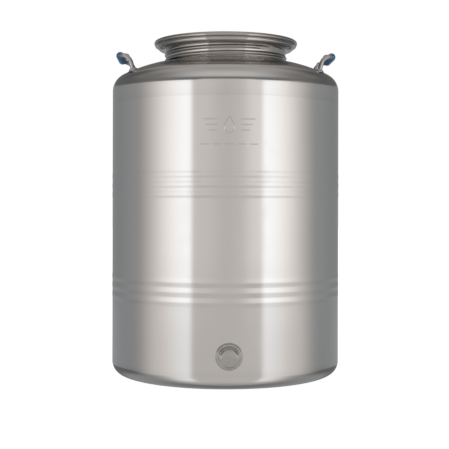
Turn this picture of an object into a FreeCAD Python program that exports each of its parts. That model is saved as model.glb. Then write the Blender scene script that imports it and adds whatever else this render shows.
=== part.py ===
import FreeCAD, Part
import math
import os

# A welded sheet-steel drum for milk and other liquids, about 50 litres.
# +Z is up, the drum stands on Z = 0 round the Z axis, and its outlet faces -Y.
# All sizes are in millimetres.

# ---- driving dimensions: the drum ----
sheet = 1.0                   # wall of every pressed or rolled sheet piece
body_radius = 180.0           # outside of the barrel
bottom_flange_height = 24.0   # straight edge of the bottom head, up to its weld
barrel_height = 402.0         # rolled sheet between the two welds
shoulder_flange_height = 21.0  # straight edge of the shoulder head, above its weld
bottom_knuckle = 20.0         # outside radius of the turned-in bottom edge
foot_band = 8.0               # flat ring that the drum stands on
foot_ramp = 12.0              # width of the ramp from that ring to the raised floor
floor_rise = 4.0              # underside of the floor above the ground
shoulder_knuckle = 27.0       # outside radius where the barrel turns into the shoulder
shoulder_sweep = 64.0         # degrees turned by that radius before the crown begins
crown_radius = 252.0          # outside radius of the crown of the shoulder

# ---- driving dimensions: the rolled beads of the barrel ----
bead_pitch = 14.4             # height of one bead
bead_rise = 0.3               # how far a bead stands proud of the barrel
beads_in_group = 3
lower_beads_start = 119.2     # lower edge of the lower group
upper_beads_start = 275.8     # lower edge of the upper group

# ---- driving dimensions: mouth and lid ----
neck_radius = 93.9            # outside of the neck between its threads
neck_height = 24.4            # from the shoulder to the top of the lip
neck_sink = 2.0               # how far the neck reaches through the shoulder
lip_radius = 2.0              # radius of the lip turned in round the mouth
thread_lead = 9.3             # rise of the lid in one turn
thread_height = 2.1           # how far the neck's rolled thread stands out
thread_width = 4.4            # width of the neck's thread at its root
thread_wall = 0.8             # width lost on each side of the hollow behind a thread
thread_clearance = 0.7        # gap between the flanks of the two threads
thread_start = 4.95           # start of the neck's thread above the shoulder
thread_turns = 1.0
thread_run_on = 0.12          # turns by which the lid's thread outruns the neck's
thread_root = 0.4             # how far a thread reaches into the wall that carries it
hollow_stop = 0.01            # turns by which a hollow ends short of its thread
lid_thread_slack = 0.1        # height that the lid's thread lacks of the neck's
lid_thread_trim = 0.4         # width that the lid's thread lacks of its full clearance
neck_to_lid = 0.8             # radial running clearance between neck and lid
lid_to_shoulder = 1.8         # gap under the lower edge of the lid
flare_height = 6.6            # height of the flare that carries the lid's rim
flare_belly = 0.36            # how far out the middle of the flare lies, as a share
hem_height = 1.5              # edge of the flare, folded flat
hem_width = 4.0
hem_inset = 1.5               # hem edge inside the rim bead
rim_overhang = 18.6           # rim beyond the straight wall of the lid
rim_bead_radius = 3.55        # outside radius of the bead rolled round the lid
gasket_thickness = 2.5
gasket_width = 4.4
dish_clearance = 3.0          # lid dish to the lip of the neck, all round
dish_depth = 8.0
dish_corner = 4.0
dish_brim = 1.6               # bend from the dish wall to its flat land

# ---- driving dimensions: handles ----
rod_radius = 3.5
rod_bend = 16.0               # centreline radius where a leg leans out
rod_corner = 12.0             # centreline radius where a leg turns into the grip bar
rod_sink = 5.0                # rod beyond its seat, before it is trimmed
leg_spacing = 88.0            # between the two legs of a handle
leg_offset = 146.0            # foot of each leg from the middle of the drum
knee_lean = 5.5               # how far out the knee of a leg lies from its foot
knee_height = 21.5            # knee above the foot
grip_lean = 20.8              # axis of the grip from the foot, outwards
grip_rise = 24.2              # axis of the grip above the foot
grip_end_gap = 2.0            # from a corner's end to the grip
grip_radius = 5.9             # over the rings
grip_groove = 0.7             # depth of the grooves between the rings
grip_rings = 10
ring_share = 0.62             # share of one ring's pitch that is full size
foot_radius = 6.0
foot_thickness = 2.0

# ---- driving dimensions: outlet ----
outlet_height = 50.0          # axis above the ground
boss_flange_radius = 18.5
boss_flange_proud = 3.0
boss_flange_seat = 3.0        # flange before it is trimmed to the barrel
collar_radius = 15.2
collar_proud = 10.0
spigot_inside = 4.0           # boss beyond the inside of the barrel
plug_lead = 2.5
plug_core_radius = 8.9        # plug between its threads
plug_thread_height = 1.1
plug_thread_width = 1.4
plug_thread_clearance = 0.35  # gap between the flanks of the two threads
plug_radial_clearance = 0.5
plug_thread_start = 1.5       # start of the plug's thread from its inner end
plug_thread_turns = 2.6
plug_shank_length = 11.0
plug_head_radius = 13.8
plug_head_height = 7.0
plug_head_round = 2.6
plug_head_crown = 0.6         # rise of the head's rounded face
outlet_gasket_thickness = 1.5
outlet_gasket_lap = 0.8       # gasket beyond the plug's head
outlet_gasket_bore_gap = 0.6  # gasket round the plug's thread
edge_round = 0.8              # small rounded edges of the turned pieces
front = -90.0                 # direction of the outlet, where the lid's threads start

# ---- heights that follow from the sizes above ----
barrel_low = bottom_flange_height
barrel_top = barrel_low + barrel_height
shoulder_start = barrel_top + shoulder_flange_height
sweep = math.radians(shoulder_sweep)
crown_edge = (
    body_radius - shoulder_knuckle + shoulder_knuckle * math.cos(sweep),
    shoulder_start + shoulder_knuckle * math.sin(sweep),
)
crown_centre = (
    crown_edge[0] - crown_radius * math.cos(sweep),
    crown_edge[1] - crown_radius * math.sin(sweep),
)


def vector(x, y, z):
    return FreeCAD.Vector(x, y, z)


Z_AXIS = vector(0, 0, 1)
ORIGIN = vector(0, 0, 0)


def crown_z(radius, inset=0.0):
    """Height of the shoulder's crown at a radius, or of its inside with an inset."""
    return crown_centre[1] + math.sqrt((crown_radius - inset) ** 2 - (radius - crown_centre[0]) ** 2)


def on_arc(centre, radius, degrees):
    angle = math.radians(degrees)
    return (centre[0] + radius * math.cos(angle), centre[1] + radius * math.sin(angle))


def outline(start, *moves):
    """Closed wire in the XZ plane. A move is an end point, or (middle, end) of an arc."""
    edges = []
    here = start
    for move in list(moves) + [start]:
        if isinstance(move[0], tuple):
            middle, end = move
            edges.append(Part.Arc(*[vector(r, 0, z) for r, z in (here, middle, end)]).toShape())
        else:
            end = move
            if math.dist(here, end) < 1e-6:
                continue
            edges.append(Part.LineSegment(vector(here[0], 0, here[1]), vector(end[0], 0, end[1])).toShape())
        here = end
    return Part.Wire(edges)


def turned(wire):
    """Solid turned round the Z axis from an outline."""
    return Part.Face(wire).revolve(ORIGIN, Z_AXIS, 360)


def cylinder(radius, low, high):
    return Part.makeCylinder(radius, high - low, vector(0, 0, low))


def bulge(root, height, width, lead, low, turns, turn_at_low):
    """Rounded helical ridge on a cylinder, rooted a little inside it."""
    round_radius = ((width / 2) ** 2 + height ** 2) / (2 * height)
    round_centre = root + height - round_radius
    base = root - thread_root
    half = math.sqrt(round_radius ** 2 - (base - round_centre) ** 2)
    section = outline((base, -half), ((root + height, 0), (base, half)))
    helix = Part.makeHelix(lead, lead * turns, root)
    ridge = Part.Wire(helix).makePipeShell([section], True, True)
    ridge.rotate(ORIGIN, Z_AXIS, turn_at_low)
    ridge.translate(vector(0, 0, low))
    return ridge


# ---- the drum's shell ----

def beads(radius, start):
    """Moves along one group of beads, from its lower edge up."""
    moves = []
    for number in range(beads_in_group):
        low = start + number * bead_pitch
        moves.append(((radius + bead_rise, low + bead_pitch / 2), (radius, low + bead_pitch)))
    return moves


def beads_down(radius, start):
    moves = []
    for number in reversed(range(beads_in_group)):
        low = start + number * bead_pitch
        moves.append(((radius + bead_rise, low + bead_pitch / 2), (radius, low)))
    return moves


def outlet_place(shape):
    """Turns a piece made along +Z so that it faces -Y at the outlet."""
    shape.rotate(ORIGIN, vector(1, 0, 0), 90)
    shape.translate(vector(0, 0, outlet_height))
    return shape


def barrel():
    inside = body_radius - sheet
    group_height = beads_in_group * bead_pitch
    shell = turned(outline(
        (body_radius, barrel_low),
        (body_radius, lower_beads_start),
        *beads(body_radius, lower_beads_start),
        (body_radius, upper_beads_start),
        *beads(body_radius, upper_beads_start),
        (body_radius, barrel_top),
        (inside, barrel_top),
        (inside, upper_beads_start + group_height),
        *beads_down(inside, upper_beads_start),
        (inside, lower_beads_start + group_height),
        *beads_down(inside, lower_beads_start),
        (inside, barrel_low),
    ))
    hole = outlet_place(cylinder(collar_radius, 0, body_radius + sheet))
    return shell.cut(hole)


def bottom_head():
    knuckle = (body_radius - bottom_knuckle, bottom_knuckle)
    inner = bottom_knuckle - sheet
    ring_inner = knuckle[0] - foot_band
    floor_edge = ring_inner - foot_ramp
    return turned(outline(
        (0, floor_rise),
        (floor_edge, floor_rise),
        (ring_inner, 0),
        (knuckle[0], 0),
        (on_arc(knuckle, bottom_knuckle, -45), (body_radius, bottom_knuckle)),
        (body_radius, bottom_flange_height),
        (body_radius - sheet, bottom_flange_height),
        (body_radius - sheet, bottom_knuckle),
        (on_arc(knuckle, inner, -45), (knuckle[0], sheet)),
        (ring_inner, sheet),
        (floor_edge, floor_rise + sheet),
        (0, floor_rise + sheet),
    ))


def shoulder_arcs(inset):
    """Knuckle and crown of the shoulder, from the barrel in to the neck."""
    knuckle = (body_radius - shoulder_knuckle, shoulder_start)
    knuckle_radius = shoulder_knuckle - inset
    crown_end = (neck_radius, crown_z(neck_radius, inset))
    middle_radius = (crown_edge[0] + neck_radius) / 2
    return (
        (on_arc(knuckle, knuckle_radius, shoulder_sweep / 2), on_arc(knuckle, knuckle_radius, shoulder_sweep)),
        ((middle_radius, crown_z(middle_radius, inset)), crown_end),
    )


def shoulder_head():
    outer_knuckle, outer_crown = shoulder_arcs(0.0)
    inner_knuckle, inner_crown = shoulder_arcs(sheet)
    inside = body_radius - sheet
    return turned(outline(
        (inside, barrel_top),
        (body_radius, barrel_top),
        (body_radius, shoulder_start),
        outer_knuckle,
        outer_crown,
        inner_crown[1],
        (inner_crown[0], inner_knuckle[1]),
        (inner_knuckle[0], (inside, shoulder_start)),
    ))


def shoulder_core():
    """The space under the shoulder's outer face, as a solid to trim with."""
    outer_knuckle, outer_crown = shoulder_arcs(0.0)
    return turned(outline(
        (0, barrel_top),
        (body_radius, barrel_top),
        (body_radius, shoulder_start),
        outer_knuckle,
        outer_crown,
        (0, outer_crown[1][1]),
    ))


# ---- the mouth ----

neck_base = crown_z(neck_radius)
lip_top = neck_base + neck_height
lip_middle = (neck_radius - lip_radius, lip_top - lip_radius)
thread_low = neck_base + thread_start


def threaded(shell, root, height, width, low, turns, start):
    """Sheet ring with a rolled thread: a ridge outside and the same hollow behind it."""
    ridge = bulge(root, height, width, thread_lead, low, turns, start)
    hollow = bulge(
        root - sheet,
        height,
        width - 2 * thread_wall,
        thread_lead,
        low + hollow_stop * thread_lead,
        turns - 2 * hollow_stop,
        start + hollow_stop * 360,
    )
    return shell.fuse(ridge).cut(hollow)


def neck_ring():
    inside = neck_radius - sheet
    ring = turned(outline(
        (inside, neck_base - neck_sink),
        (neck_radius, neck_base - neck_sink),
        (neck_radius, lip_middle[1]),
        (on_arc(lip_middle, lip_radius, 90), (lip_middle[0] - lip_radius, lip_middle[1])),
        (on_arc(lip_middle, lip_radius, -135), (lip_middle[0], lip_middle[1] - lip_radius)),
        (inside, lip_middle[1] - lip_radius),
    ))
    return threaded(ring, neck_radius, thread_height, thread_width, thread_low, thread_turns, front)


# ---- the lid ----

lid_low = neck_base + lid_to_shoulder
lid_radius = neck_radius + neck_to_lid + sheet
lid_thread_width = thread_width + 2 * thread_clearance + 2 * thread_wall - lid_thread_trim
land_z = lip_top + gasket_thickness
hem_low = land_z - hem_height
crease_z = hem_low - flare_height
rim_radius = lid_radius + rim_overhang
hem_radius = rim_radius - hem_inset
dish_radius = neck_radius - 2 * lip_radius - dish_clearance


def flare(root, low, end):
    """Move along the hollow curve of the flare, from a root radius out to its end."""
    middle = (root + flare_belly * (end[0] - root), low + (1 - flare_belly) * (end[1] - low))
    return (middle, end)


def lid_skirt():
    inside = lid_radius - sheet
    fold = hem_radius - hem_width
    flare_inside = flare(inside, crease_z + sheet / 2, (fold - sheet / 2, land_z))
    skirt = turned(outline(
        (inside, lid_low),
        (lid_radius, lid_low),
        (lid_radius, crease_z),
        flare(lid_radius, crease_z, (fold, hem_low)),
        (hem_radius, hem_low),
        (hem_radius, land_z),
        flare_inside[1],
        (flare_inside[0], (inside, crease_z + sheet / 2)),
    ))
    skirt = threaded(
        skirt,
        lid_radius,
        thread_height - lid_thread_slack,
        lid_thread_width,
        thread_low - thread_lead,
        1 + thread_turns + thread_run_on,
        front,
    )
    return skirt.cut(cylinder(2 * lid_radius, 0, lid_low))


def lid_top_plate():
    floor = land_z - dish_depth
    corner = (dish_radius - dish_corner, floor + dish_corner)
    brim = (dish_radius + dish_brim, land_z - dish_brim)
    bead = (rim_radius - rim_bead_radius, land_z + rim_bead_radius)
    plate = turned(outline(
        (0, floor),
        (corner[0], floor),
        (on_arc(corner, dish_corner, -45), (dish_radius, corner[1])),
        (dish_radius, brim[1]),
        (on_arc(brim, dish_brim, 135), (brim[0], land_z)),
        (bead[0], land_z),
        (bead[0], land_z + sheet),
        (brim[0], land_z + sheet),
        (on_arc(brim, dish_brim + sheet, 135), (dish_radius - sheet, brim[1])),
        (dish_radius - sheet, corner[1]),
        (on_arc(corner, dish_corner - sheet, -45), (corner[0], floor + sheet)),
        (0, floor + sheet),
    ))
    bead_middle = vector(0, 0, bead[1])
    rolled = Part.makeTorus(bead[0], rim_bead_radius, bead_middle)
    hollow = Part.makeTorus(bead[0], rim_bead_radius - sheet, bead_middle)
    return plate.fuse(rolled).cut(hollow)


def ring(inner, outer, low, high):
    return cylinder(outer, low, high).cut(cylinder(inner, low, high))


def lid_gasket():
    middle = neck_radius - lip_radius
    return ring(middle - gasket_width / 2, middle + gasket_width / 2, lip_top, land_z)


# ---- the handles ----

foot_distance = math.hypot(leg_offset, leg_spacing / 2)
foot_z = crown_z(foot_distance)
grip_axis_x = leg_offset + grip_lean
grip_axis_z = foot_z + grip_rise
grip_length = leg_spacing - 2 * (rod_corner + grip_end_gap)


def bent_path(points, radii):
    """Straight runs joined by tangent arcs, one radius for each inner point."""
    edges = []
    here = points[0]
    for before, corner, after, radius in zip(points, points[1:], points[2:], radii):
        arriving = (corner - before).normalize()
        leaving = (after - corner).normalize()
        half_turn = arriving.getAngle(leaving) / 2
        inward = (leaving - arriving).normalize()
        arc_start = corner - arriving * (radius * math.tan(half_turn))
        arc_middle = corner + inward * (radius / math.cos(half_turn) - radius)
        arc_end = corner + leaving * (radius * math.tan(half_turn))
        edges.append(Part.LineSegment(here, arc_start).toShape())
        edges.append(Part.Arc(arc_start, arc_middle, arc_end).toShape())
        here = arc_end
    edges.append(Part.LineSegment(here, points[-1]).toShape())
    return Part.Wire(edges)


def handle_foot(side, end):
    """Small round foot welded to the shoulder under one leg."""
    seat = vector(side * leg_offset, end * leg_spacing / 2, foot_z)
    slope = (foot_distance - crown_centre[0]) / crown_radius
    outward = vector(seat.x, seat.y, 0).normalize()
    normal = outward * slope + Z_AXIS * math.sqrt(1 - slope ** 2)
    disc = Part.makeCylinder(foot_radius, 2 * foot_thickness, seat - normal * foot_thickness, normal)
    return disc.cut(shoulder_core())


def handle_rod(side):
    half = leg_spacing / 2

    def point(out, along, up):
        return vector(side * (leg_offset + out), along, foot_z + up)

    lean = knee_lean / knee_height
    path = bent_path(
        [
            point(-lean * rod_sink, -half, -rod_sink),
            point(knee_lean, -half, knee_height),
            point(grip_lean, -half, grip_rise),
            point(grip_lean, half, grip_rise),
            point(knee_lean, half, knee_height),
            point(-lean * rod_sink, half, -rod_sink),
        ],
        [rod_bend, rod_corner, rod_corner, rod_bend],
    )
    start = path.Edges[0]
    section = Part.Wire(Part.Circle(start.valueAt(0), start.tangentAt(0), rod_radius).toShape())
    rod = path.makePipeShell([section], True, False)
    return rod.cut([shoulder_core(), handle_foot(side, -1), handle_foot(side, 1)])


def handle_grip(side):
    """Ribbed sleeve moulded on the bar of a handle."""
    pitch = grip_length / (grip_rings - 1 + ring_share)
    valley = grip_radius - grip_groove
    side_line = []
    for number in range(grip_rings):
        low = number * pitch - grip_length / 2
        high = low + ring_share * pitch
        side_line += [(valley, low), (grip_radius, low + grip_groove)]
        side_line += [(grip_radius, high - grip_groove), (valley, high)]
    sleeve = turned(outline((rod_radius, -grip_length / 2), *side_line, (rod_radius, grip_length / 2)))
    sleeve.rotate(ORIGIN, vector(1, 0, 0), 90)
    sleeve.translate(vector(side * grip_axis_x, 0, grip_axis_z))
    return sleeve


# ---- the outlet, made along +Z from the middle of the drum ----

collar_face = body_radius + collar_proud
plug_seat = collar_face + outlet_gasket_thickness
plug_thread_low = plug_seat - plug_shank_length + plug_thread_start
bore_radius = plug_core_radius + plug_radial_clearance


def outlet_boss():
    inner_end = body_radius - sheet - spigot_inside
    flange_face = body_radius + boss_flange_proud
    spigot = turned(outline(
        (bore_radius, inner_end),
        (collar_radius, inner_end),
        (collar_radius, collar_face - edge_round),
        (collar_radius - edge_round, collar_face),
        (bore_radius, collar_face),
    ))
    flange = turned(outline(
        (bore_radius, body_radius - boss_flange_seat),
        (boss_flange_radius, body_radius - boss_flange_seat),
        (boss_flange_radius, flange_face - edge_round),
        (boss_flange_radius - edge_round, flange_face),
        (bore_radius, flange_face),
    ))
    barrel_core = cylinder(body_radius, 0, 2 * outlet_height)
    boss = outlet_place(spigot).fuse(outlet_place(flange).cut(barrel_core))
    groove_low = plug_thread_low - plug_lead / 2
    groove = bulge(
        bore_radius,
        plug_thread_height,
        plug_thread_width + 2 * plug_thread_clearance,
        plug_lead,
        groove_low,
        (collar_face - groove_low) / plug_lead + 1,
        180,
    )
    return boss.cut(outlet_place(groove))


def outlet_plug():
    head_top = plug_seat + plug_head_height
    round_middle = (plug_head_radius - plug_head_round, head_top - plug_head_round)
    shank_end = plug_seat - plug_shank_length
    face_radius = (round_middle[0] ** 2 + plug_head_crown ** 2) / (2 * plug_head_crown)
    face_centre = (0, head_top + plug_head_crown - face_radius)
    face_half = math.degrees(math.acos(round_middle[0] / face_radius)) / 2 + 45
    body = turned(outline(
        (0, shank_end),
        (plug_core_radius - edge_round, shank_end),
        (plug_core_radius, shank_end + edge_round),
        (plug_core_radius, plug_seat),
        (plug_head_radius, plug_seat),
        (plug_head_radius, round_middle[1]),
        (on_arc(round_middle, plug_head_round, 45), (round_middle[0], head_top)),
        (on_arc(face_centre, face_radius, face_half), (0, head_top + plug_head_crown)),
    ))
    thread = bulge(
        plug_core_radius,
        plug_thread_height,
        plug_thread_width,
        plug_lead,
        plug_thread_low,
        plug_thread_turns,
        0,
    )
    return outlet_place(body.fuse(thread))


def outlet_gasket():
    inner = plug_core_radius + plug_thread_height + outlet_gasket_bore_gap
    return outlet_place(ring(inner, plug_head_radius + outlet_gasket_lap, collar_face, plug_seat))


# ---- every piece, by name ----

pieces = {
    "barrel": barrel(),
    "bottom_head": bottom_head(),
    "shoulder_head": shoulder_head(),
    "neck_ring": neck_ring(),
    "lid_skirt": lid_skirt(),
    "lid_top_plate": lid_top_plate(),
    "lid_gasket": lid_gasket(),
    "outlet_boss": outlet_boss(),
    "outlet_plug": outlet_plug(),
    "outlet_gasket": outlet_gasket(),
}
for side_name, side in (("left", -1), ("right", 1)):
    pieces[side_name + "_handle_rod"] = handle_rod(side)
    pieces[side_name + "_handle_grip"] = handle_grip(side)
    for end_name, end in (("front", -1), ("rear", 1)):
        pieces[side_name + "_" + end_name + "_handle_foot"] = handle_foot(side, end)

os.makedirs("parts", exist_ok=True)
for name, piece in pieces.items():
    solid = piece.Solids[0]
    print(name, piece.isValid(), len(piece.Solids), round(solid.Volume, 1))
    solid.exportStep("parts/" + name + ".step")
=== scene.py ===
import math

import bmesh
import bpy
from mathutils import Matrix, Vector


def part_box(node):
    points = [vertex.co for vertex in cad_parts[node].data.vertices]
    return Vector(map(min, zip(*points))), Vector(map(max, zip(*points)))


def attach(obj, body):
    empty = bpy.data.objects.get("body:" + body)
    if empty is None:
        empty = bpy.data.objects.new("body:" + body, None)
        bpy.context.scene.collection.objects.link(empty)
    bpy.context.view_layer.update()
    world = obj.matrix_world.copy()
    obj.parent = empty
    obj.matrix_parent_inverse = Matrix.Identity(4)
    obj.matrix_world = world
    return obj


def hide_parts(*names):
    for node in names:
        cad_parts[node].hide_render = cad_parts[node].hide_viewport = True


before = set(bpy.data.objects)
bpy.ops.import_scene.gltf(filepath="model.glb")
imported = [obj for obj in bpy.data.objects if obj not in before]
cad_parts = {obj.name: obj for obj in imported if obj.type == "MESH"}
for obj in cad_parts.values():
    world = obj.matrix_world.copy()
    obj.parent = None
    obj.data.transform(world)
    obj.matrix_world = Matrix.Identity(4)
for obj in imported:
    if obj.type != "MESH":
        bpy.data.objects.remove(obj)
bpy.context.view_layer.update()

# ---- sizes in metres, from model.glb where it gives them ----

SHEET = 0.001
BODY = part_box("bottom_head")[1].x
BARREL_LOW, BARREL_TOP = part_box("barrel")[0].z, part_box("barrel")[1].z
BOTTOM_KNUCKLE = 0.020
FOOT_BAND = 0.008
FOOT_RAMP = 0.012
FLOOR_RISE = 0.004
SHOULDER_FLANGE = 0.021
SHOULDER_KNUCKLE = 0.027
SHOULDER_SWEEP = 64
CROWN = 0.252
BEAD_PITCH = 0.0144
BEAD_RISE = 0.0003
BEAD_GROUPS = (0.1192, 0.2758)
BEADS_IN_GROUP = 3
FLUSH_WELD = (0.0030, 0.00002)
NECK_WELD = (0.0022, 0.0008)
FILLET = 0.0011
LEG_WELD = 0.0013

NECK = 0.0939
LIP = 0.002
NECK_LOW, NECK_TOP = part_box("neck_ring")[0].z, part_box("neck_ring")[1].z
LID_WALL = 0.0957
LID_LOW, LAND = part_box("lid_skirt")[0].z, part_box("lid_skirt")[1].z
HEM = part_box("lid_skirt")[1].x
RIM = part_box("lid_top_plate")[1].x
RIM_BEAD = 0.00355
HEM_HEIGHT = 0.0015
HEM_WIDTH = 0.004
FLARE = 0.0066
FLARE_BELLY = 0.76
DISH = 0.0869
DISH_DEPTH = 0.008
DISH_CORNER = 0.004
DISH_BRIM = 0.0016
THREAD_LEAD = 0.0093
THREAD_START = 0.00495
THREAD_HEIGHT = 0.002
NECK_THREAD_WIDTH = 0.0044
LID_THREAD_WIDTH = 0.0068
LID_THREAD_TURNS = (-2.0, 1.12)

ROD = 0.0035
GRIP = 0.0064
GRIP_GROOVE = 0.0007
GRIP_RINGS = 10
FOOT = 0.006
FOOT_THICKNESS = 0.002
LEG_X = 0.146
LEG_Y = 0.044
KNEE_LEAN, KNEE_HEIGHT = 0.0055, 0.0215
GRIP_LEAN, GRIP_RISE = 0.0208, 0.0242
ROD_BEND, ROD_CORNER = 0.016, 0.012

OUTLET_HEIGHT = (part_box("outlet_boss")[0].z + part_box("outlet_boss")[1].z) / 2
BOSS_FLANGE = 0.0185
BOSS_FLANGE_PROUD = 0.003
COLLAR = 0.0152
COLLAR_FACE = -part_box("outlet_boss")[0].y
BOSS_INNER = -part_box("outlet_boss")[1].y
PLUG_CORE = 0.0089
PLUG_LEAD = 0.0025
PLUG_THREAD = 0.0011
PLUG_THREAD_WIDTH = 0.0018
BORE_THREAD_WIDTH = 0.0021
PLUG_SHANK = 0.011
PLUG_SEAT = -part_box("outlet_gasket")[0].y
PLUG_HEAD = 0.0138
PLUG_HEIGHT = 0.007
PLUG_ROUND = 0.0026
PLUG_CROWN = 0.0006

FRONT = -math.pi / 2
AROUND = 256


# ---- surfaces: expressions on node sockets ----

class Value:
    """A number that varies from place to place: the output of a node."""

    def __init__(self, surface, socket):
        self.surface = surface
        self.socket = socket

    def math(self, operation, *operands):
        return self.surface.node("ShaderNodeMath", {"operation": operation}, dict(enumerate(operands)))

    def __add__(self, other):
        return self.math("ADD", self, other)

    def __radd__(self, other):
        return self.math("ADD", other, self)

    def __sub__(self, other):
        return self.math("SUBTRACT", self, other)

    def __rsub__(self, other):
        return self.math("SUBTRACT", other, self)

    def __mul__(self, other):
        return self.math("MULTIPLY", self, other)

    def __rmul__(self, other):
        return self.math("MULTIPLY", other, self)

    def between(self, low, high):
        """0 below low, 1 above high, and smooth from one to the other."""
        return self.surface.node(
            "ShaderNodeMapRange",
            {"interpolation_type": "SMOOTHSTEP"},
            {"Value": self, "From Min": low, "From Max": high},
        )


class Surface:
    """A node tree, with its nodes made one call at a time."""

    def __init__(self, tree):
        self.tree = tree

    def node(self, kind, settings, inputs, output=0):
        node = self.tree.nodes.new(kind)
        for key, value in settings.items():
            setattr(node, key, value)
        for key, value in inputs.items():
            self.put(node.inputs[key], value)
        return Value(self, node.outputs[output])

    def put(self, socket, value):
        if isinstance(value, Value):
            self.tree.links.new(value.socket, socket)
        else:
            socket.default_value = value

    def mix(self, share, low, high):
        """A colour between two, by share."""
        return self.node("ShaderNodeMix", {"data_type": "RGBA"}, {0: share, 6: low, 7: high}, 2)

    def parts(self, place):
        """The X, Y and Z of a place or direction."""
        node = self.node("ShaderNodeSeparateXYZ", {}, {"Vector": place}).socket.node
        return [Value(self, output) for output in node.outputs]


class Finish(Surface):
    """One material of the object."""

    def __init__(self, name, **constants):
        self.material = bpy.data.materials.new(name)
        self.material.use_nodes = True
        super().__init__(self.material.node_tree)
        self.shader = self.tree.nodes["Principled BSDF"]
        self.place = self.node("ShaderNodeTexCoord", {}, {}, "Object")
        for socket, value in constants.items():
            self.set(socket.replace("_", " "), value)

    def set(self, socket, value):
        self.put(self.shader.inputs[socket], value)

    def stretched(self, across, up):
        """The place, scaled round the object and along its height."""
        return self.node("ShaderNodeMapping", {}, {"Vector": self.place, "Scale": (across, across, up)})

    def noise(self, place, scale=1.0, detail=2.0, roughness=0.5):
        return self.node(
            "ShaderNodeTexNoise",
            {},
            {"Vector": place, "Scale": scale, "Detail": detail, "Roughness": roughness},
            "Fac",
        )

    def bump(self, height, distance, strength=1.0, normal=None):
        inputs = {"Height": height, "Distance": distance, "Strength": strength}
        if normal is not None:
            inputs["Normal"] = normal
        return self.node("ShaderNodeBump", {}, inputs)


def colour(red, green, blue):
    return (red, green, blue, 1.0)


def sheet_steel():
    """Rolled satin sheet: fine grain round the drum, faint waves, wiping marks and warmth by the welds."""
    finish = Finish("satin_sheet", Metallic=1.0)
    grain = finish.noise(finish.stretched(14, 900), detail=3)
    waves = finish.noise(finish.stretched(7, 2), detail=1)
    wipes = finish.noise(finish.stretched(18, 11), detail=4, roughness=0.6)
    cloud = finish.noise(finish.stretched(5, 4), detail=2)
    height = finish.parts(finish.place)[2]
    above = height.between(BARREL_TOP - 0.0015, BARREL_TOP - 0.0005) * (
        1 - height.between(BARREL_TOP, BARREL_TOP + 0.016)
    )
    below = height.between(BARREL_LOW - 0.008, BARREL_LOW) * (1 - height.between(BARREL_LOW, BARREL_LOW + 0.006))
    plain = finish.mix(cloud, colour(0.590, 0.556, 0.526), colour(0.640, 0.606, 0.574))
    finish.set("Base Color", finish.mix(above * 0.14 + below * 0.1, plain, colour(0.44, 0.405, 0.37)))
    finish.set("Roughness", 0.11 + 0.05 * grain + 0.06 * wipes.between(0.45, 0.75))
    rolled = finish.bump(waves, 0.0004)
    finish.set("Normal", finish.bump(grain, 0.00001, 0.6, rolled))
    return finish.material


def pressed_steel():
    """Spun and pressed sheet of the neck and lid, with turning marks and fine wear."""
    finish = Finish("pressed_sheet", Metallic=1.0)
    rings = finish.noise(finish.stretched(5, 420), detail=2)
    wipes = finish.noise(finish.stretched(30, 30), detail=4, roughness=0.6)
    cloud = finish.noise(finish.stretched(9, 16), detail=2)
    # painted shade: these base colours are a darker copy of the satin sheet's steel, dimming the neck and lid; the
    # cloud noise between them is real tone
    finish.set("Base Color", finish.mix(cloud, colour(0.430, 0.402, 0.376), colour(0.515, 0.483, 0.454)))
    finish.set("Roughness", 0.05 + 0.03 * rings + 0.05 * wipes.between(0.5, 0.8))
    finish.set("Normal", finish.bump(rings, 0.000004, 0.5))
    return finish.material


def weld_steel():
    """Weld bead: ripples along it, duller than the sheet and a little straw-coloured."""
    finish = Finish("weld_bead", Metallic=1.0)
    ripples = finish.noise(finish.stretched(420, 420), detail=2)
    heat = finish.noise(finish.stretched(40, 40), detail=2)
    finish.set("Base Color", finish.mix(heat, colour(0.40, 0.38, 0.355), colour(0.52, 0.495, 0.465)))
    finish.set("Roughness", 0.22 + 0.12 * ripples)
    finish.set("Normal", finish.bump(ripples, 0.0002))
    return finish.material


def wire_steel():
    """Polished bent wire with fine scratches along it and dull spots."""
    finish = Finish("polished_wire", Metallic=1.0)
    scratches = finish.noise(finish.stretched(700, 700), detail=3)
    dull = finish.noise(finish.stretched(60, 60), detail=3)
    finish.set("Base Color", finish.mix(dull, colour(0.40, 0.385, 0.37), colour(0.54, 0.52, 0.50)))
    finish.set("Roughness", 0.14 + 0.07 * scratches + 0.08 * dull.between(0.5, 0.8))
    finish.set("Normal", finish.bump(scratches, 0.00002, 0.5))
    return finish.material


def turned_steel():
    """Lathe-turned fittings with rings of tool marks round the outlet's axis."""
    finish = Finish("turned_fitting", Metallic=1.0)
    across, along, up = finish.parts(finish.place)
    up = up - OUTLET_HEIGHT
    square = across * across + up * up
    radius = square.math("SQRT", square)
    rings = (radius * 9000).math("SINE", radius * 9000)
    worn = finish.noise(finish.stretched(160, 160), detail=3)
    finish.set("Base Color", finish.mix(worn, colour(0.38, 0.36, 0.34), colour(0.48, 0.455, 0.43)))
    finish.set("Roughness", 0.12 + 0.09 * worn)
    finish.set("Normal", finish.bump(rings, 0.000012, 0.6))
    return finish.material


def grip_plastic():
    """Moulded blue plastic: slightly mottled, with a soft gloss."""
    finish = Finish("blue_plastic", Coat_Roughness=0.12, IOR=1.5)
    mottle = finish.noise(finish.stretched(220, 220), detail=3)
    wear = finish.noise(finish.stretched(90, 90), detail=4, roughness=0.7)
    finish.set("Base Color", finish.mix(mottle, colour(0.008, 0.075, 0.19), colour(0.016, 0.15, 0.34)))
    finish.set("Roughness", 0.28 + 0.18 * wear)
    finish.set("Coat Weight", 0.35 * wear.between(0.3, 0.6))
    finish.set("Normal", finish.bump(mottle, 0.00008, 0.5))
    return finish.material


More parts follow.
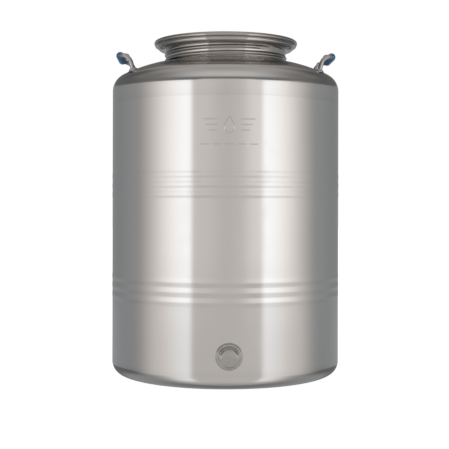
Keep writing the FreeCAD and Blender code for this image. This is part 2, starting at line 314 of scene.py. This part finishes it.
def seal_rubber():
    """Pale food-grade rubber with a faint moulded skin."""
    finish = Finish("pale_rubber")
    skin = finish.noise(finish.stretched(900, 900), detail=2)
    dust = finish.noise(finish.stretched(70, 70), detail=3)
    finish.set("Base Color", finish.mix(dust, colour(0.42, 0.42, 0.40), colour(0.56, 0.56, 0.53)))
    finish.set("Roughness", 0.55 + 0.2 * dust)
    finish.set("Normal", finish.bump(skin, 0.00004, 0.6))
    return finish.material


SHEET_STEEL = sheet_steel()
PRESSED_STEEL = pressed_steel()
WELD_STEEL = weld_steel()
WIRE_STEEL = wire_steel()
TURNED_STEEL = turned_steel()
GRIP_PLASTIC = grip_plastic()
SEAL_RUBBER = seal_rubber()


# ---- shaping ----

def arc(centre, radius, start, end, steps=8):
    """Points on an arc in the radius and height plane, with angles in degrees."""
    points = []
    for step in range(steps + 1):
        angle = math.radians(start + (end - start) * step / steps)
        points.append((centre[0] + radius * math.cos(angle), centre[1] + radius * math.sin(angle)))
    return points


def rows(radius, low, high, count):
    """Evenly spaced points up or down a straight wall."""
    return [(radius, low + (high - low) * step / count) for step in range(count + 1)]


def lathe(outline, closed=True, steps=AROUND):
    """A bmesh spun round Z from (radius, height) points; open outlines end on the axis."""
    bm = bmesh.new()
    verts = [bm.verts.new((radius, 0, height)) for radius, height in outline]
    edges = [bm.edges.new(pair) for pair in zip(verts, verts[1:])]
    if closed:
        edges.append(bm.edges.new((verts[-1], verts[0])))
    bmesh.ops.spin(
        bm, geom=verts + edges, cent=(0, 0, 0), axis=(0, 0, 1), angle=2 * math.pi, steps=steps, use_merge=True
    )
    bmesh.ops.remove_doubles(bm, verts=bm.verts, dist=1e-7)
    bmesh.ops.dissolve_degenerate(bm, dist=1e-8, edges=bm.edges)
    bmesh.ops.recalc_face_normals(bm, faces=bm.faces)
    return bm


def moved(bm, matrix):
    bmesh.ops.transform(bm, matrix=matrix, verts=bm.verts)
    return bm


def finished(bm, name, body, finish, stands_for=(), crease=32):
    """Turns a bmesh into a piece on a body, smooth except at its real edges."""
    for face in bm.faces:
        face.smooth = True
    for edge in bm.edges:
        edge.smooth = edge.calc_face_angle(0) < math.radians(crease)
    mesh = bpy.data.meshes.new(name)
    bm.to_mesh(mesh)
    bm.free()
    piece = bpy.data.objects.new(name, mesh)
    bpy.context.scene.collection.objects.link(piece)
    mesh.materials.append(finish)
    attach(piece, body)
    if stands_for:
        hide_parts(*stands_for)
    return piece


def tube(points, radius, name, body, finish, stands_for=(), cyclic=False):
    """A round rod or bead along points, as a mesh."""
    curve = bpy.data.curves.new(name, "CURVE")
    curve.dimensions = "3D"
    curve.bevel_depth = radius
    curve.bevel_resolution = 8
    curve.use_fill_caps = True
    spline = curve.splines.new("POLY")
    spline.points.add(len(points) - 1)
    for point, place in zip(spline.points, points):
        point.co = (*place, 1)
    spline.use_cyclic_u = cyclic
    holder = bpy.data.objects.new(name, curve)
    mesh = bpy.data.meshes.new_from_object(holder)
    bpy.data.objects.remove(holder)
    bm = bmesh.new()
    bm.from_mesh(mesh)
    bpy.data.meshes.remove(mesh)
    bmesh.ops.remove_doubles(bm, verts=bm.verts, dist=1e-6)
    bmesh.ops.recalc_face_normals(bm, faces=bm.faces)
    return finished(bm, name, body, finish, stands_for, crease=50)


def roll_thread(bm, wall, low, lead, first, last, height, width, fade=0.05):
    """Pushes a wall out along a right-hand helix, as rolling does, fading at both ends.

    low is the helix's height at the front, and first and last count turns from there.
    """
    for vert in bm.verts:
        radius = math.hypot(vert.co.x, vert.co.y)
        if abs(radius - wall) > SHEET * 1.2:
            continue
        turn = ((math.atan2(vert.co.y, vert.co.x) - FRONT) / (2 * math.pi)) % 1.0
        lap = round((vert.co.z - low) / lead - turn)
        along = turn + lap
        off = abs(vert.co.z - low - along * lead)
        ends = min((along - first) / fade, (last - along) / fade, 1.0)
        if off < width / 2 and ends > 0:
            rise = height * ends * math.cos(math.pi * off / width) ** 1.3
            vert.co.x *= 1 + rise / radius
            vert.co.y *= 1 + rise / radius


# ---- the drum ----

def crown_point(radius, inset=0.0):
    """Height of the shoulder's crown at a radius, or of its inside."""
    sweep = math.radians(SHOULDER_SWEEP)
    edge = (
        BODY - SHOULDER_KNUCKLE + SHOULDER_KNUCKLE * math.cos(sweep),
        BARREL_TOP + SHOULDER_FLANGE + SHOULDER_KNUCKLE * math.sin(sweep),
    )
    centre = (edge[0] - CROWN * math.cos(sweep), edge[1] - CROWN * math.sin(sweep))
    return centre, centre[1] + math.sqrt((CROWN - inset) ** 2 - (radius - centre[0]) ** 2)


def wall_points(radius):
    """The barrel's wall from the bottom up, with close rows where its beads swell."""
    points = rows(radius, BARREL_LOW, BEAD_GROUPS[0], 8)
    for low, beyond in zip(BEAD_GROUPS, (BEAD_GROUPS[1], BARREL_TOP)):
        for step in range(1, BEADS_IN_GROUP * 16 + 1):
            swell = BEAD_RISE * 0.5 * (1 - math.cos(math.pi * step / 8))
            points.append((radius + swell, low + BEAD_PITCH * step / 16))
        points += rows(radius, points[-1][1], beyond, 12)[1:]
    return points


def barrel():
    outline = wall_points(BODY) + wall_points(BODY - SHEET)[::-1]
    finished(lathe(outline), "barrel_sheet", "drum", SHEET_STEEL, ["barrel"])


def bottom():
    knuckle = (BODY - BOTTOM_KNUCKLE, BOTTOM_KNUCKLE)
    ring = knuckle[0] - FOOT_BAND
    ramp = ring - FOOT_RAMP
    outer = [(0, FLOOR_RISE), (ramp, FLOOR_RISE), (ring, 0)]
    outer += arc(knuckle, BOTTOM_KNUCKLE, -90, 0, 14) + [(BODY, BARREL_LOW)]
    inner = [(BODY - SHEET, BARREL_LOW)] + arc(knuckle, BOTTOM_KNUCKLE - SHEET, 0, -90, 14)
    inner += [(ring, SHEET), (ramp, FLOOR_RISE + SHEET), (0, FLOOR_RISE + SHEET)]
    finished(lathe(outer + inner, closed=False), "bottom_sheet", "drum", SHEET_STEEL, ["bottom_head"])


def shoulder_side(inset):
    """One face of the shoulder, from the weld up and in to the neck."""
    start = BARREL_TOP + SHOULDER_FLANGE
    knuckle = (BODY - SHOULDER_KNUCKLE, start)
    points = rows(BODY - inset, BARREL_TOP, start, 6)[:-1]
    points += arc(knuckle, SHOULDER_KNUCKLE - inset, 0, SHOULDER_SWEEP, 24)
    outer = points[-1][0]
    for step in range(1, 25):
        radius = outer + (NECK - outer) * step / 24
        points.append((radius, crown_point(radius, inset)[1]))
    return points


def shoulder():
    outline = shoulder_side(0.0) + shoulder_side(SHEET)[::-1]
    finished(lathe(outline), "shoulder_sheet", "drum", SHEET_STEEL, ["shoulder_head"])


def neck():
    inside = NECK - SHEET
    lip = (NECK - LIP, NECK_TOP - LIP)
    outline = rows(NECK, NECK_LOW, lip[1], 48) + arc(lip, LIP, 0, 270, 20)[1:]
    outline += rows(inside, lip[1] - LIP, NECK_LOW, 44)
    bm = lathe(outline)
    start = crown_point(NECK)[1] + THREAD_START
    roll_thread(bm, NECK, start, THREAD_LEAD, 0.0, 1.0, THREAD_HEIGHT, NECK_THREAD_WIDTH)
    finished(bm, "neck_sheet", "drum", PRESSED_STEEL, ["neck_ring"])


def weld_ring(name, radius, height, width, proud, finish):
    outline = [
        (radius - SHEET / 2, height - width / 2),
        (radius, height - width / 2),
        (radius + 0.75 * proud, height - width / 4),
        (radius + proud, height),
        (radius + 0.75 * proud, height + width / 4),
        (radius, height + width / 2),
        (radius - SHEET / 2, height + width / 2),
    ]
    finished(lathe(outline), name, "drum", finish, crease=70)


def welds():
    """The two round welds are planished flush with the sheet; the neck's fillet and the seam are left."""
    weld_ring("bottom_weld", BODY, BARREL_LOW, *FLUSH_WELD, SHEET_STEEL)
    weld_ring("shoulder_weld", BODY, BARREL_TOP, *FLUSH_WELD, SHEET_STEEL)
    weld_ring("neck_weld", NECK, crown_point(NECK)[1] + 0.0002, *NECK_WELD, WELD_STEEL)
    seam = bmesh.new()
    bmesh.ops.create_cube(seam, size=1)
    bmesh.ops.scale(seam, vec=(0.0028, 0.0012, BARREL_TOP - BARREL_LOW), verts=seam.verts)
    bmesh.ops.bevel(
        seam, geom=seam.edges[:], offset=0.0004, affect="EDGES", segments=3, profile=0.5, material=-1
    )
    bmesh.ops.translate(seam, vec=(0, BODY - 0.0002, (BARREL_TOP + BARREL_LOW) / 2), verts=seam.verts)
    finished(seam, "barrel_seam", "drum", WELD_STEEL)


barrel()
bottom()
shoulder()
neck()
welds()


# ---- the lid ----

def flare(root, low, end, steps=14):
    """The bowl-shaped curve from the lid's wall out and up to its folded edge."""
    start = Vector((root, low))
    stop = Vector(end)
    middle = Vector((root + FLARE_BELLY * (end[0] - root), low + (1 - FLARE_BELLY) * (end[1] - low)))
    pull = 2 * middle - (start + stop) / 2
    points = []
    for step in range(steps + 1):
        share = step / steps
        point = (1 - share) ** 2 * start + 2 * share * (1 - share) * pull + share ** 2 * stop
        points.append(tuple(point))
    return points


def lid_wall():
    inside = LID_WALL - SHEET
    hem_low = LAND - HEM_HEIGHT
    crease = hem_low - FLARE
    fold = HEM - HEM_WIDTH
    outer = rows(LID_WALL, LID_LOW, crease, 64)
    outer += flare(LID_WALL, crease, (fold, hem_low))[1:]
    outer += arc((HEM - HEM_HEIGHT / 2, hem_low + HEM_HEIGHT / 2), HEM_HEIGHT / 2, -90, 90, 6)
    inner = flare(inside, crease + SHEET / 2, (fold - SHEET / 2, LAND))[::-1]
    inner += rows(inside, crease + SHEET / 2, LID_LOW, 64)[1:]
    bm = lathe(outer + inner)
    start = crown_point(NECK)[1] + THREAD_START
    wall = LID_WALL - SHEET / 2
    roll_thread(bm, wall, start, THREAD_LEAD, *LID_THREAD_TURNS, THREAD_HEIGHT, LID_THREAD_WIDTH)
    finished(bm, "lid_wall", "lid", PRESSED_STEEL, ["lid_skirt"], crease=25)


def lid_panel():
    floor = LAND - DISH_DEPTH
    corner = (DISH - DISH_CORNER, floor + DISH_CORNER)
    brim = (DISH + DISH_BRIM, LAND - DISH_BRIM)
    bead = (RIM - RIM_BEAD, LAND + RIM_BEAD)
    under = [(0, floor)] + arc(corner, DISH_CORNER, -90, 0) + arc(brim, DISH_BRIM, 180, 90)
    curl = arc(bead, RIM_BEAD, -90, 235, 30) + arc(bead, RIM_BEAD - SHEET, 235, -90, 30)
    over = arc(brim, DISH_BRIM + SHEET, 90, 180) + arc(corner, DISH_CORNER - SHEET, 0, -90)
    outline = under + curl + over + [(0, floor + SHEET)]
    finished(lathe(outline, closed=False), "lid_panel", "lid", PRESSED_STEEL, ["lid_top_plate"])


def ring_outline(low_corner, high_corner, rounding):
    """Rounded rectangle between two corners in the radius and height plane."""
    (inner, low), (outer, high) = low_corner, high_corner
    points = arc((outer - rounding, low + rounding), rounding, -90, 0, 4)
    points += arc((outer - rounding, high - rounding), rounding, 0, 90, 4)
    points += arc((inner + rounding, high - rounding), rounding, 90, 180, 4)
    points += arc((inner + rounding, low + rounding), rounding, 180, 270, 4)
    return points


def lid_seal():
    low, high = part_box("lid_gasket")
    outline = ring_outline((high.x - 0.0044, low.z), (high.x, high.z), 0.0006)
    finished(lathe(outline), "lid_seal_ring", "lid_seal", SEAL_RUBBER, ["lid_gasket"])


lid_wall()
lid_panel()
lid_seal()


# ---- the handles ----

def bent_line(points, radii):
    """Points along straight runs joined by tangent arcs."""
    line = [points[0]]
    for before, corner, after, radius in zip(points, points[1:], points[2:], radii):
        arriving = (corner - before).normalized()
        leaving = (after - corner).normalized()
        half_turn = arriving.angle(leaving) / 2
        inward = (leaving - arriving).normalized()
        centre = corner + inward * (radius / math.cos(half_turn))
        start = corner - arriving * (radius * math.tan(half_turn)) - centre
        axis = arriving.cross(leaving)
        for step in range(13):
            line.append(centre + Matrix.Rotation(2 * half_turn * step / 12, 3, axis) @ start)
    return line + [points[-1]]


def seat(side, end):
    """Place of a handle's foot on the shoulder, turned square to the sheet."""
    distance = math.hypot(LEG_X, LEG_Y)
    centre, height = crown_point(distance)
    outward = Vector((side * LEG_X, end * LEG_Y, 0)).normalized()
    slope = (distance - centre[0]) / CROWN
    normal = outward * slope + Vector((0, 0, math.sqrt(1 - slope ** 2)))
    turn = normal.to_track_quat("Z", "Y").to_matrix().to_4x4()
    return Matrix.Translation((side * LEG_X, end * LEG_Y, height)) @ turn


def foot(name, side, end):
    outline = [(0, -0.001), (FOOT, -0.001)]
    outline += arc((FOOT - 0.0006, FOOT_THICKNESS - 0.0006), 0.0006, 0, 90, 4) + [(0, FOOT_THICKNESS)]
    disc = moved(lathe(outline, closed=False, steps=48), seat(side, end))
    finished(disc, name + "_foot", "drum", WIRE_STEEL, [name + "_handle_foot"])
    for label, radius, height, bead in (
        ("foot_weld", FOOT, 0.0002, FILLET),
        ("leg_weld", ROD, FOOT_THICKNESS, LEG_WELD),
    ):
        ring = lathe(arc((radius + 0.2 * bead, height), bead, 0, 330, 11), steps=48)
        finished(moved(ring, seat(side, end)), name + "_" + label, "drum", WELD_STEEL, crease=70)


def handle(name, side):
    base = crown_point(math.hypot(LEG_X, LEG_Y))[1]

    def point(out, along, up):
        return Vector((side * (LEG_X + out), along, base + up))

    line = bent_line(
        [
            point(0, -LEG_Y, 0.001),
            point(KNEE_LEAN, -LEG_Y, KNEE_HEIGHT),
            point(GRIP_LEAN, -LEG_Y, GRIP_RISE),
            point(GRIP_LEAN, LEG_Y, GRIP_RISE),
            point(KNEE_LEAN, LEG_Y, KNEE_HEIGHT),
            point(0, LEG_Y, 0.001),
        ],
        [ROD_BEND, ROD_CORNER, ROD_CORNER, ROD_BEND],
    )
    tube(line, ROD, name + "_wire", "drum", WIRE_STEEL, [name + "_handle_rod"])


def sleeve(name):
    """Ribbed grip with rounded rings, turned along the handle's bar."""
    low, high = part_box(name + "_handle_grip")
    length = high.y - low.y
    middle = (low + high) / 2
    pitch = length / GRIP_RINGS
    outline = [(ROD, -length / 2)]
    for number in range(GRIP_RINGS):
        for step in range(12):
            share = step / 12
            rise = abs(math.sin(math.pi * share)) ** 0.6
            outline.append((GRIP - GRIP_GROOVE * 1.4 * (1 - rise), -length / 2 + pitch * (number + share)))
    outline += [(GRIP - GRIP_GROOVE * 1.4, length / 2), (ROD, length / 2)]
    bm = lathe(outline, steps=64)
    moved(bm, Matrix.Translation(middle) @ Matrix.Rotation(math.radians(90), 4, "X"))
    finished(bm, name + "_sleeve", "drum", GRIP_PLASTIC, [name + "_handle_grip"], crease=60)


for side_name, side in (("left", -1), ("right", 1)):
    handle(side_name, side)
    sleeve(side_name)
    for end_name, end in (("front", -1), ("rear", 1)):
        foot(side_name + "_" + end_name, side, end)


# ---- the outlet ----

OUTLET = Matrix.Translation((0, 0, OUTLET_HEIGHT)) @ Matrix.Rotation(math.radians(90), 4, "X")
PLUG_THREAD_LOW = PLUG_SEAT - PLUG_SHANK + 0.0015


def plug_thread(bm, wall, first, last, width):
    """Winds a thread on a wall made along the outlet's axis, before it is turned into place."""
    roll_thread(bm, wall, PLUG_THREAD_LOW + PLUG_LEAD / 4, PLUG_LEAD, first, last, PLUG_THREAD, width, fade=0.2)


def outlet_boss():
    bore = PLUG_CORE + 0.0005
    flange = BODY + BOSS_FLANGE_PROUD
    outline = [(COLLAR, BOSS_INNER), (COLLAR, BODY - SHEET), (BOSS_FLANGE, BODY - SHEET)]
    outline += arc((BOSS_FLANGE - 0.0008, flange - 0.0008), 0.0008, 0, 90, 5)
    outline += arc((COLLAR + 0.0009, flange + 0.0009), 0.0009, 270, 180, 5)
    outline += arc((COLLAR - 0.0008, COLLAR_FACE - 0.0008), 0.0008, 0, 90, 5)
    outline += rows(bore, COLLAR_FACE, BOSS_INNER, 90)
    bm = lathe(outline, steps=96)
    plug_thread(bm, bore, -2.0, 20.0, BORE_THREAD_WIDTH)
    finished(moved(bm, OUTLET), "outlet_boss_turned", "drum", TURNED_STEEL, ["outlet_boss"])
    ring = []
    for step in range(96):
        angle = 2 * math.pi * step / 96
        across = (BOSS_FLANGE + 0.0004) * math.cos(angle)
        up = (BOSS_FLANGE + 0.0004) * math.sin(angle)
        ring.append(Vector((across, -math.sqrt(BODY ** 2 - across ** 2), OUTLET_HEIGHT + up)))
    tube(ring, FILLET, "outlet_weld", "drum", WELD_STEEL, cyclic=True)


def outlet_plug():
    top = PLUG_SEAT + PLUG_HEIGHT
    flat = PLUG_HEAD - PLUG_ROUND
    end = PLUG_SEAT - PLUG_SHANK
    outline = [(0, end), (PLUG_CORE - 0.0008, end)] + rows(PLUG_CORE, end + 0.0008, PLUG_SEAT, 60)
    outline += arc((PLUG_HEAD - 0.0004, PLUG_SEAT + 0.0004), 0.0004, -90, 0, 3)
    outline += arc((flat, top - PLUG_ROUND), PLUG_ROUND, 0, 84, 10)
    face_radius = (flat ** 2 + PLUG_CROWN ** 2) / (2 * PLUG_CROWN)
    for step in range(1, 9):
        radius = flat * (1 - step / 8)
        outline.append((radius, top + PLUG_CROWN - face_radius + math.sqrt(face_radius ** 2 - radius ** 2)))
    bm = lathe(outline, closed=False, steps=96)
    plug_thread(bm, PLUG_CORE, 0.0, 2.6, PLUG_THREAD_WIDTH)
    finished(moved(bm, OUTLET), "outlet_plug_turned", "plug", TURNED_STEEL, ["outlet_plug"])


def outlet_seal():
    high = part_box("outlet_gasket")[1]
    outline = ring_outline((PLUG_CORE + 0.0017, COLLAR_FACE), (high.x, PLUG_SEAT), 0.0004)
    bm = lathe(outline, steps=96)
    finished(moved(bm, OUTLET), "outlet_seal_ring", "plug_seal", SEAL_RUBBER, ["outlet_gasket"])


outlet_boss()
outlet_plug()
outlet_seal()


# ---- a plain raised mark on the front ----

MARK_HEIGHT = 0.373
MARK_LINE = 0.0011
MARK_SUNK = 0.00085


def on_barrel(across, up):
    """A place just under the front of the barrel, from the middle of the mark."""
    angle = across / BODY
    radius = BODY - MARK_SUNK
    return Vector((radius * math.sin(angle), -radius * math.cos(angle), MARK_HEIGHT + up))


def raised_bar(name, left, right, up):
    bar = [on_barrel(left + (right - left) * step / 12, up) for step in range(13)]
    tube(bar, MARK_LINE, name, "drum", SHEET_STEEL)


def front_mark():
    """A drop between two short bars, over a dashed line, pressed out of the sheet."""
    drop = []
    for step in range(48):
        angle = 2 * math.pi * step / 48
        pinch = math.sin(angle / 2) ** 1.5
        drop.append(on_barrel(0.010 * math.sin(angle) * pinch, 0.012 * math.cos(angle) + 0.010))
    tube(drop, MARK_LINE, "mark_drop", "drum", SHEET_STEEL, cyclic=True)
    for number in range(3):
        raised_bar("mark_left_%d" % number, -0.038 + 0.004 * number, -0.017, 0.018 - 0.008 * number)
        raised_bar("mark_right_%d" % number, 0.017, 0.038 - 0.004 * number, 0.018 - 0.008 * number)
    for number in range(5):
        middle = 0.018 * (number - 2)
        raised_bar("mark_dash_%d" % number, middle - 0.006, middle + 0.006, -0.018)


front_mark()


# ---- floor, light and camera ----

def floor():
    bm = bmesh.new()
    bmesh.ops.create_circle(bm, cap_ends=True, segments=96, radius=9)
    mesh = bpy.data.meshes.new("floor")
    bm.to_mesh(mesh)
    bm.free()
    ground = bpy.data.objects.new("floor", mesh)
    bpy.context.scene.collection.objects.link(ground)
    ground.visible_glossy = False
    pale = Finish("pale_floor", Roughness=0.9, Specular_IOR_Level=0.0, Emission_Strength=0.82)
    pale.set("Base Color", colour(0.72, 0.72, 0.72))
    pale.set("Emission Color", colour(1.0, 1.0, 1.0))
    mesh.materials.append(pale.material)


def overhead(radiance):
    """A wide soft light from above, which only dull surfaces take."""
    light = bpy.data.lights.new("overhead", "AREA")
    light.size = 3.0
    light.energy = radiance * math.pi * 9.0
    holder = bpy.data.objects.new("overhead", light)
    bpy.context.scene.collection.objects.link(holder)
    holder.location = (0, 0, 2.6)
    holder.visible_camera = False
    holder.visible_glossy = False


def room():
    """A studio: two softboxes in front with their inner edges sharp, a lit ceiling and a pale floor.

    turn and height are a direction's degrees round from the front and up, and each figure is a radiance or its share.
    """
    world = bpy.data.worlds.new("room")
    bpy.context.scene.world = world
    world.use_nodes = True
    studio = Surface(world.node_tree)
    across, along, up = studio.parts(studio.node("ShaderNodeTexCoord", {}, {}, "Generated"))
    turn = across.math("ARCTAN2", across, 0 - along) * math.degrees(1)
    off = turn.math("ABSOLUTE", turn)
    height = up.math("ARCSINE", up) * math.degrees(1)

    middle = 0.75 + 0.13 * off.between(0, 26) + 0.20 * turn.between(12, 28)
    side = 0.30 + 0.14 * (1 - off.between(85, 150))
    beyond = off.between(32.5, 37.5)
    wall = middle * (1 - beyond) + side * beyond + 1.26 * beyond * (1 - off.between(36, 103))

    down = 0 - height
    steep = down.between(9, 24)
    shade = 0.20 * off.between(80, 112) * down.between(10, 12.5) * (1 - down.between(18, 34))
    fall = off.between(62, 112) * (1 - steep) + off.between(50, 90) * steep
    ground = (0.70 - 0.33 * fall) * (1 - 0.45 * down.between(42, 88)) - shade
    near_glow = 0.34 * (1 - off.between(38, 72)) * (1 + 0.5 * down.between(6, 30))
    far_glow = 0.15 * (1 - off.between(70, 100)) * (1 - steep)
    ground = ground + beyond * (near_glow + far_glow) * (1 - down.between(34, 60))

    gap = (0.20 + 0.03 * off.between(20, 60)) * (1 - 0.35 * off.between(70, 120))
    high = height.between(38, 80)
    spread = (1 - 0.66 * off.between(22, 92) - 0.17 * off.between(108, 140)) * (1 - high) + high
    ceiling = (0.72 - 0.25 * height.between(45, 88)) * spread
    ceiling = ceiling + 0.24 * off.between(140, 166) * height.between(24, 40) * (1 - high)

    lower = height.between(-6.4, -4.0)
    low_part = ground * (1 - lower) + wall * lower
    start = 8.6 + 3.0 * (1 - off.between(22, 34))
    over_gap = height.between(start, start + 3.0)
    part = low_part * (1 - over_gap) + gap * over_gap
    over_ceiling = height.between(19, 36)
    radiance = part * (1 - over_ceiling) + ceiling * over_ceiling
    seen = studio.node("ShaderNodeLightPath", {}, {}, "Is Camera Ray")
    light = studio.tree.nodes["Background"]
    cool = 0.8 * beyond * (1 - off.between(46, 60)) + off.between(78, 112) * (1 - height.between(8, 24))
    tint = studio.mix(cool * (1 - seen), colour(1, 1, 1), colour(0.945, 1.0, 1.06))
    studio.put(light.inputs["Color"], tint)
    studio.put(light.inputs["Strength"], radiance * (1 - seen) + seen)


CAMERA_LENS = 83.4
CAMERA_DISTANCE = 1.670
CAMERA_HEIGHT = 0.274
CAMERA_TURN = math.radians(-1.8)
CAMERA_LEAN = math.radians(0.12)


def camera():
    lens = bpy.data.cameras.new("camera")
    lens.sensor_width = 36
    lens.lens = CAMERA_LENS
    lens.shift_x = -0.002
    lens.shift_y = -0.0535
    lens.clip_end = 60
    holder = bpy.data.objects.new("camera", lens)
    bpy.context.scene.collection.objects.link(holder)
    turn = Matrix.Rotation(CAMERA_TURN, 4, "Z")
    stand = turn @ Matrix.Translation((0, -CAMERA_DISTANCE, CAMERA_HEIGHT))
    holder.matrix_world = stand @ Matrix.Rotation(math.radians(90), 4, "X") @ Matrix.Rotation(CAMERA_LEAN, 4, "Z")
    bpy.context.scene.camera = holder


floor()
overhead(0.35)
room()
camera()
bpy.context.scene.view_settings.view_transform = "Standard"
